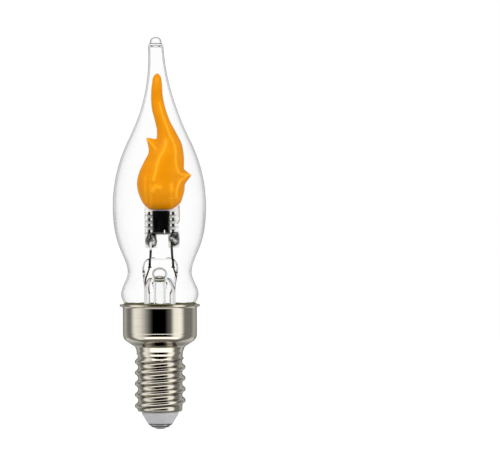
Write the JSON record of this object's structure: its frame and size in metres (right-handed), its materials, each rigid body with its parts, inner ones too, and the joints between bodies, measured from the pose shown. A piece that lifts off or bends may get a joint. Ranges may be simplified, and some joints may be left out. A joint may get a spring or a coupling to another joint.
{
  "type": "flicker led bulb",
  "caption": "Clear candle-shaped glass bulb with a leaning tip, an orange moulded flame on a driver board inside, and a skirted E12 screw base with centre contact.",
  "frame": {"origin": "middle of the flat on the centre contact's solder button, on the base's axis", "axes": "+Z along the base's axis towards the glass tip, front of the driver board towards -Y"},
  "size_m": [0.0214, 0.0214, 0.09],
  "materials": {
    "envelope_glass": "clear blown glass",
    "stem_glass": "clear pressed glass",
    "flame_silicone": "satin translucent moulding",
    "nickel_plate": "polished warm nickel plate",
    "contact_metal": "dull plated steel",
    "solder": "smooth solder",
    "insulator_glass": "opaque pale grey glass",
    "lead_wire": "drawn nickel wire",
    "copper_wire": "oxidised copper sheath",
    "board_white": "white solder mask",
    "chip_black": "moulded epoxy",
    "pin_tin": "tinned",
    "resistor_body": "glazed film",
    "led_body": "phosphor face",
    "cement": "dry olive-brown cement"
  },
  "bodies": {
    "root": {"glass_envelope": "envelope_glass", "stem_tube": "stem_glass", "exhaust_tube": "stem_glass", "flame_diffuser": "flame_silicone", "base_shell": "nickel_plate", "contact_plate": "contact_metal", "contact_solder": "solder", "side_solder": "solder", "solder_joint_left": "solder", "solder_joint_right": "solder", "solder_pads": "solder", "base_insulator": "insulator_glass", "lead_wire_left": "lead_wire", "lead_wire_right": "lead_wire", "seal_wire_left": "copper_wire", "seal_wire_right": "copper_wire", "tail_wire_side": "copper_wire", "tail_wire_centre": "copper_wire", "driver_board": "board_white", "driver_ic": "chip_black", "bridge_rectifier": "chip_black", "ic_pins": "pin_tin", "rectifier_pins": "pin_tin", "chip_resistors": "resistor_body", "led_chips": "led_body", "basing_cement": "cement"}
  },
  "joints": []
}
